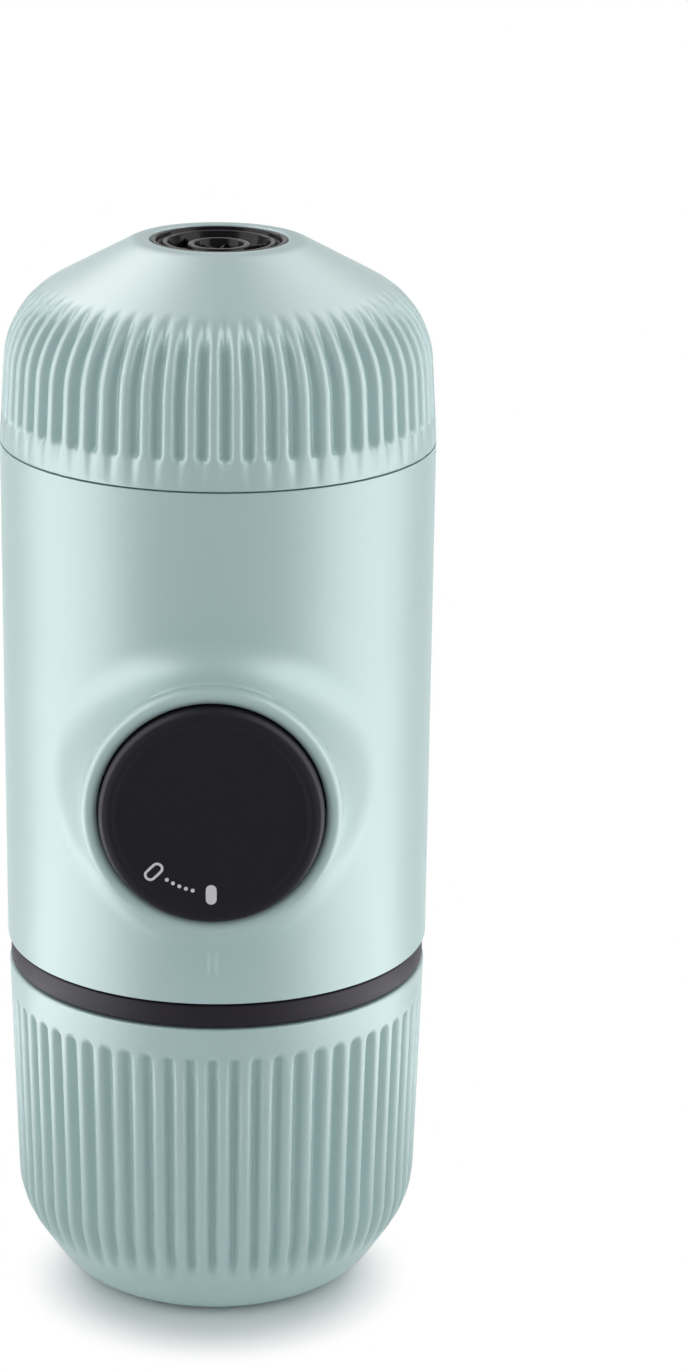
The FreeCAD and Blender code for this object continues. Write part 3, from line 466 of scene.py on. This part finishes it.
knob = {"radius": 15.47, "front": -40.0, "back": -36.2, "dish": 0.35, "dishRadius": 13.0, "slope": 0.9,
        "shoulder": 0.45, "shoulderDrop": 0.38, "edgeDrop": 1.15, "hub": 6.0, "hubBack": -31.0,
        "bore": 3.6, "boreEnd": -38.6}
# unlocked, firstDot and dotStep are turns in degrees
marks = {"thick": 0.03, "lift": 0.01, "sides": 28, "dots": 5, "unlocked": 45, "firstDot": 13.5,
         "dotStep": 5.1}


def knobCap():
    front = knob["front"]
    outline = roundedOutline([
        (0, front + knob["dish"]), (knob["dishRadius"], front + knob["dish"], 1.2),
        (knob["dishRadius"] + knob["slope"], front, 0.7),
        (knob["radius"] - knob["shoulder"], front + knob["shoulderDrop"], 0.8),
        (knob["radius"], front + knob["edgeDrop"], 0.5), (knob["radius"], knob["back"], 0.25),
        (knob["hub"], knob["back"]), (knob["hub"], knob["hubBack"], 0.4), (knob["bore"], knob["hubBack"]),
        (knob["bore"], knob["boreEnd"]), (0, knob["boreEnd"])], chord=0.2)
    bm = turned(outline, 192, across=True, height=pumpHeight)
    piece = pieceFrom(bm, "knobCap", finishes["knob_black"], "knob")
    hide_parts("knob_cap")


# a thin printed shape on the knob's face, its long side towards the middle
def printedPill(name, turn, radius, length, width, hollow=0.0):
    bm = bmesh.new()
    disc = bmesh.ops.create_circle(bm, cap_ends=True, radius=width / 2 * mm, segments=marks["sides"])["verts"]
    for vert in disc:  # drawn out into a pill, but for the two corners in the middle
        if abs(vert.co.y) > 1e-7:
            vert.co.y += math.copysign((length - width) / 2 * mm, vert.co.y)
    if hollow:
        bmesh.ops.inset_region(bm, faces=bm.faces[:], thickness=hollow * mm, use_boundary=True,
                               use_even_offset=True)
        inner = min(bm.faces, key=lambda face: face.calc_center_median().length)
        bmesh.ops.delete(bm, geom=[inner], context="FACES_ONLY")
    rim = bmesh.ops.extrude_face_region(bm, geom=bm.faces[:])["geom"]
    raised = [item for item in rim if isinstance(item, bmesh.types.BMVert)]
    bmesh.ops.translate(bm, verts=raised, vec=(0, 0, marks["thick"] * mm))
    bmesh.ops.recalc_face_normals(bm, faces=bm.faces)
    bmesh.ops.rotate(bm, verts=bm.verts, cent=(0, 0, 0), matrix=Matrix.Rotation(math.pi / 2, 3, "X"))
    face = knob["front"] + knob["dish"] + marks["lift"]
    bmesh.ops.translate(bm, verts=bm.verts, vec=(0, face * mm, -radius * mm))
    bmesh.ops.rotate(bm, verts=bm.verts, cent=(0, 0, 0), matrix=Matrix.Rotation(turn, 3, "Y"))
    bmesh.ops.translate(bm, verts=bm.verts, vec=(0, 0, pumpHeight * mm))
    piece = pieceFrom(bm, name, finishes["mark_grey"], "knob")


def knobMarks():
    printedPill("markLocked", 0, 11.15, 2.85, 1.5)
    printedPill("markUnlocked", math.radians(marks["unlocked"]), 11.1, 3.05, 1.75, hollow=0.36)
    for number in range(marks["dots"]):
        turn = math.radians(marks["firstDot"] + marks["dotStep"] * number)
        printedPill(f"markDot{number + 1}", turn, 10.85, 0.561, 0.56)


bandRing()
knobCap()
knobMarks()
print("band and knob made")


# Nozzle: glossy ridges with vanes between them

nozzle = {"under": 151.55, "floor": 152.7, "ridge": 155.6, "rim": 155.85, "rimRadius": 9.66, "flange": 12.2,
          "flangeTop": 152.4, "neck": 153.1, "innerDrop": 0.35}
vanes = {"count": 6, "length": 7.0, "width": 0.8, "height": 2.4, "sink": 1.75, "phase": 15, "taper": 0.55,
         "middleRadius": 3, "middleDrop": 0.7, "outerDrop": 0.15, "rounding": 0.16}


def nozzleInsert():
    ridge, floor, inner = nozzle["ridge"], nozzle["floor"], nozzle["ridge"] - nozzle["innerDrop"]
    outline = roundedOutline([
        (0, nozzle["under"]), (nozzle["flange"], nozzle["under"]), (nozzle["flange"], nozzle["flangeTop"]),
        (nozzle["rimRadius"], nozzle["neck"]), (nozzle["rimRadius"], nozzle["rim"], 0.2),
        (8.9, nozzle["rim"], 0.3), (8.5, ridge - 1.6, 0.4), (7.9, ridge, 0.3), (7.3, ridge, 0.3),
        (6.3, floor, 0.8), (4.9, floor, 0.6), (4.4, inner, 0.25), (3.5, inner, 0.25), (3.0, floor, 0.6),
        (0, floor)], chord=0.12)
    piece = pieceFrom(turned(outline, 144), "nozzleDish", finishes["gloss_black"], "outlet_head")
    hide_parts("nozzle_insert")
    for number in range(vanes["count"]):
        nozzleVane(number)


# a blade from the middle outwards, thinner and lower along its top
def nozzleVane(number):
    bm = bmesh.new()
    bmesh.ops.create_cube(bm, size=1)
    size = (vanes["length"] * mm, vanes["width"] * mm, vanes["height"] * mm)
    bmesh.ops.scale(bm, vec=size, verts=bm.verts)
    middle = nozzle["ridge"] - vanes["sink"]
    bmesh.ops.translate(bm, vec=(vanes["length"] / 2 * mm, 0, middle * mm), verts=bm.verts)
    top = [vert for vert in bm.verts if vert.co.z > middle * mm]
    for vert in top:
        atMiddle = vert.co.x < vanes["middleRadius"] * mm
        vert.co.z -= (vanes["middleDrop"] if atMiddle else vanes["outerDrop"]) * mm
        vert.co.y *= vanes["taper"]
    edges = [edge for edge in bm.edges if all(vert in top for vert in edge.verts)]
    bmesh.ops.bevel(bm, geom=edges, offset=vanes["rounding"] * mm, segments=3, affect="EDGES", profile=0.5,
                    material=-1)
    turn = math.radians(360 / vanes["count"] * number + vanes["phase"])
    bmesh.ops.rotate(bm, verts=bm.verts, cent=(0, 0, 0), matrix=Matrix.Rotation(turn, 3, "Z"))
    vane = pieceFrom(bm, f"nozzleVane{number + 1}", finishes["gloss_black"], "outlet_head")


nozzleInsert()
print("nozzle made")


# Threads: a ridge that climbs round a neck

ridgeForm = {"pitch": 2.8, "height": 0.32, "crest": 0.18, "root": 0.55, "sunk": 0.15, "stepsPerTurn": 64}


# a spun section is open at its far end
def closeEnd(bm):
    openEdges = [edge for edge in bm.edges if edge.is_boundary]
    bmesh.ops.holes_fill(bm, edges=openEdges, sides=0)


def threadRidge(name, radius, foot, top, slot, body):
    turns = (top - foot) / ridgeForm["pitch"]
    steps = int(ridgeForm["stepsPerTurn"] * turns)
    height, crest, root = ridgeForm["height"], ridgeForm["crest"], ridgeForm["root"]
    section = [(0, -root), (height, -crest), (height, crest), (0, root), (-ridgeForm["sunk"], 0)]
    bm = bmesh.new()
    verts = [bm.verts.new(((radius + out) * mm, 0, (foot + up) * mm)) for out, up in section]
    edges = [bm.edges.new(pair) for pair in zip(verts, verts[1:] + verts[:1])]
    bm.faces.new(verts)
    bmesh.ops.spin(bm, geom=bm.verts[:] + edges, cent=(0, 0, 0), axis=(0, 0, 1), angle=2 * math.pi * turns,
                   steps=steps, dvec=(0, 0, (top - foot) * mm / steps))
    closeEnd(bm)
    bmesh.ops.recalc_face_normals(bm, faces=bm.faces)
    piece = pieceFrom(bm, name, finishes[slot], body)


threadRidge("tankThread", 25.9, 44.0, 49.6, "tank_clear", "tank")
threadRidge("headThread", 26.6, 130.0, 135.6, "frame_black", "main_body")
print("threads made")


# Return spring: one wire, wound behind the knob

def returnSpring():
    spring = {"wire": 0.55, "radius": 11.2, "turns": 7, "back": 3.35, "front": -35.55, "stepsPerTurn": 48}
    steps = spring["turns"] * spring["stepsPerTurn"]
    bm = bmesh.new()
    section = bmesh.ops.create_circle(bm, cap_ends=True, radius=spring["wire"] * mm, segments=12)["verts"]
    bmesh.ops.rotate(bm, verts=section, cent=(0, 0, 0), matrix=Matrix.Rotation(math.pi / 2, 3, "X"))
    bmesh.ops.rotate(bm, verts=section, cent=(0, 0, 0), matrix=Matrix.Rotation(math.pi / 2, 3, "Z"))
    bmesh.ops.translate(bm, verts=section, vec=(0, spring["back"] * mm, spring["radius"] * mm))
    travel = (spring["front"] - spring["back"]) * mm
    bmesh.ops.spin(bm, geom=bm.verts[:] + bm.edges[:], cent=(0, 0, 0), axis=(0, 1, 0),
                   angle=2 * math.pi * spring["turns"], steps=steps, dvec=(0, travel / steps, 0))
    closeEnd(bm)
    bmesh.ops.recalc_face_normals(bm, faces=bm.faces)
    bmesh.ops.translate(bm, verts=bm.verts, vec=(0, 0, pumpHeight * mm))
    mesh = bpy.data.meshes.new("woundSpring")
    bm.to_mesh(mesh)
    bm.free()
    mesh.shade_smooth()
    mesh.materials.append(finishes["steel"])
    piece = bpy.data.objects.new("woundSpring", mesh)
    bpy.context.scene.collection.objects.link(piece)
    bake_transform(piece)
    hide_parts("return_spring")


returnSpring()
print("spring wound")


# Studio: pale floor, white surroundings, and four kinds of soft lamp, one of each at either side

view = {
    "place": (10.93 * mm, -526.86 * mm, 261.52 * mm), "turn": 0.804, "pitch": 17.999, "roll": 0.775,
    "lens": 100.15, "sensor": 36, "nearest": 0.01,
}
# metres: the floor shows its shade under the cup, and is plain white to the camera from fadeTo outwards
studio = {"ambient": 0.48, "floorHalf": 6, "floorTone": 0.95, "floorGloss": 0.18,
          "fadeFrom": 0.017, "fadeTo": 0.03, "fadeAhead": 0.008}
# metres, for the right side; levels are for left and right, and all but the soft lamps show in gloss alone
lamps = {
    "soft": {"place": (0.46, -0.3, 0.34), "aim": (0, 0, 0.09), "size": (0.3, 0.6), "levels": (1.0, 1.0)},
    "card": {"place": (0.16, -0.045, 0.2), "aim": (0, -0.045, 0.2), "size": (0.17, 0.4),
             "levels": (6.5, 6.5)},
    "table": {"place": (0.13, -0.045, 0.002), "aim": (0.13, -0.045, 1), "size": (0.1, 0.17),
              "levels": (5.0, 5.0)},
    "high": {"place": (0.19, 0.22, 0.46), "aim": (0, 0, 0.15), "size": (0.2, 0.3), "levels": (8.0, 5.5)},
}


def addCamera():
    data = bpy.data.cameras.new("camera")
    camera = bpy.data.objects.new("camera", data)
    bpy.context.scene.collection.objects.link(camera)
    turn, pitch, roll = (math.radians(view[key]) for key in ("turn", "pitch", "roll"))
    ahead = Vector((math.sin(turn) * math.cos(pitch), math.cos(turn) * math.cos(pitch), -math.sin(pitch)))
    right = Vector((math.cos(turn), -math.sin(turn), 0))
    up = right.cross(ahead)
    across = right * math.cos(roll) + up * math.sin(roll)
    upright = up * math.cos(roll) - right * math.sin(roll)
    matrix = Matrix((across, upright, -ahead)).transposed().to_4x4()
    matrix.translation = Vector(view["place"])
    camera.matrix_world = matrix
    data.sensor_width = view["sensor"]
    data.sensor_fit = "AUTO"
    data.lens = view["lens"]
    data.clip_start = view["nearest"]
    bpy.context.scene.camera = camera


def addSoftLight(name, place, aim, width, height, level, mirrorOnly):
    data = bpy.data.lights.new(name, "AREA")
    data.shape = "RECTANGLE"
    data.size = width
    data.size_y = height
    data.energy = level * math.pi * width * height
    light = bpy.data.objects.new(name, data)
    light.location = place
    light.rotation_euler = (Vector(aim) - Vector(place)).to_track_quat("-Z", "Y").to_euler()
    light.visible_camera = False
    light.visible_diffuse = not mirrorOnly
    bpy.context.scene.collection.objects.link(light)


# camera, mirror and glass rays see plain white, the rest of the light is softer
def seenRays(nodes, links):
    path = nodes.new("ShaderNodeLightPath")
    first = nodes.new("ShaderNodeMath")
    first.operation = "MAXIMUM"
    both = nodes.new("ShaderNodeMath")
    both.operation = "MAXIMUM"
    links.new(path.outputs["Is Camera Ray"], first.inputs[0])
    links.new(path.outputs["Is Glossy Ray"], first.inputs[1])
    links.new(first.outputs["Value"], both.inputs[0])
    links.new(path.outputs["Is Transmission Ray"], both.inputs[1])
    return both.outputs["Value"]


def addWorld():
    world = bpy.data.worlds.new("studio")
    bpy.context.scene.world = world
    world.use_nodes = True
    nodes = world.node_tree.nodes
    links = world.node_tree.links
    level = nodes.new("ShaderNodeMapRange")
    level.inputs["To Min"].default_value = studio["ambient"]
    level.inputs["To Max"].default_value = 1.0
    links.new(seenRays(nodes, links), level.inputs["Value"])
    links.new(level.outputs["Result"], nodes["Background"].inputs["Strength"])
    nodes["Background"].inputs["Color"].default_value = (1, 1, 1, 1)


def addFloor():
    bm = bmesh.new()
    bmesh.ops.create_grid(bm, x_segments=1, y_segments=1, size=studio["floorHalf"])
    mesh = bpy.data.meshes.new("floor")
    bm.to_mesh(mesh)
    bm.free()
    floor = bpy.data.objects.new("floor", mesh)
    bpy.context.scene.collection.objects.link(floor)
    material, nodes, links, shader = newMaterial("paleFloor")
    shader.inputs["Base Color"].default_value = [studio["floorTone"]] * 3 + [1]
    shader.inputs["Roughness"].default_value = studio["floorGloss"]
    place = nodes.new("ShaderNodeTexCoord")
    away = nodes.new("ShaderNodeVectorMath")
    away.operation = "LENGTH"
    fade = nodes.new("ShaderNodeMapRange")
    fade.interpolation_type = "SMOOTHSTEP"
    fade.inputs["From Min"].default_value = studio["fadeFrom"]
    fade.inputs["From Max"].default_value = studio["fadeTo"]
    seen = nodes.new("ShaderNodeMath")
    seen.operation = "MULTIPLY"
    glow = nodes.new("ShaderNodeEmission")
    mix = nodes.new("ShaderNodeMixShader")
    shift = nodes.new("ShaderNodeMapping")
    shift.inputs["Location"].default_value = (0, studio["fadeAhead"], 0)
    links.new(place.outputs["Object"], shift.inputs["Vector"])
    links.new(shift.outputs["Vector"], away.inputs[0])
    links.new(away.outputs["Value"], fade.inputs["Value"])
    links.new(fade.outputs["Result"], seen.inputs[0])
    links.new(seenRays(nodes, links), seen.inputs[1])
    links.new(seen.outputs["Value"], mix.inputs["Fac"])
    links.new(shader.outputs["BSDF"], mix.inputs[1])
    links.new(glow.outputs["Emission"], mix.inputs[2])
    links.new(mix.outputs["Shader"], nodes["Material Output"].inputs["Surface"])
    mesh.materials.append(material)
    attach(floor, "cup")  # the cup stands on it, also when the maker is lifted off the cup


addCamera()
addWorld()
addFloor()
for side, sideName in enumerate(("Left", "Right")):
    mirror = Vector((2 * side - 1, 1, 1))
    for kind, lamp in lamps.items():
        place, aim = Vector(lamp["place"]) * mirror, Vector(lamp["aim"]) * mirror
        addSoftLight(kind + sideName, place, aim, *lamp["size"], lamp["levels"][side], kind != "soft")
bpy.context.scene.view_settings.view_transform = "Standard"
print("studio lit")
